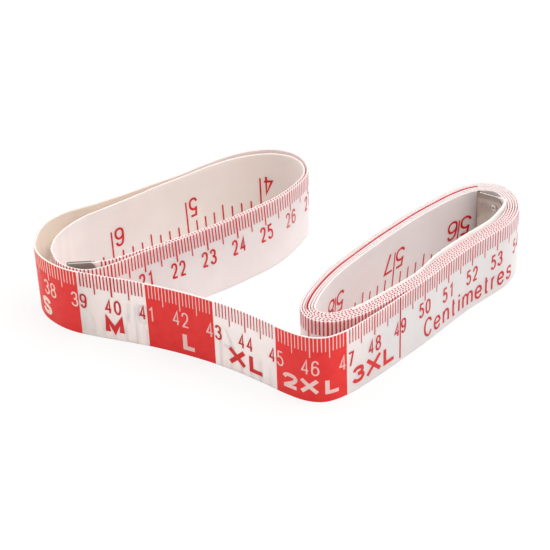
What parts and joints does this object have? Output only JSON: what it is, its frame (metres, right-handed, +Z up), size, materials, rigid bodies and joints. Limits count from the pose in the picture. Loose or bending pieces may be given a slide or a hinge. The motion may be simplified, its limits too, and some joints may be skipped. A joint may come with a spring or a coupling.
{
  "type": "cloth tape measure",
  "caption": "Soft cloth tape measure standing on its edge in loose coils, with riveted metal tips on its ends, for measuring round curved things.",
  "frame": {"origin": "on the surface that the band's lower edge stands on, under the middle of the object's box", "axes": "+X along the layout's long side towards the coil that holds the end of the scale, +Y away from the front bend, +Z up across the band's width"},
  "size_m": [0.1322, 0.094, 0.0213],
  "materials": {
    "coated_cloth": "satin",
    "tinned_sheet": "satin",
    "rivet_metal": "polished"
  },
  "bodies": {
    "root": {"tape_band": "coated_cloth", "start_tip": "tinned_sheet", "start_tip_rivet_lower": "rivet_metal", "start_tip_rivet_upper": "rivet_metal", "end_tip": "tinned_sheet", "end_tip_rivet_lower": "rivet_metal", "end_tip_rivet_upper": "rivet_metal"}
  },
  "joints": []
}
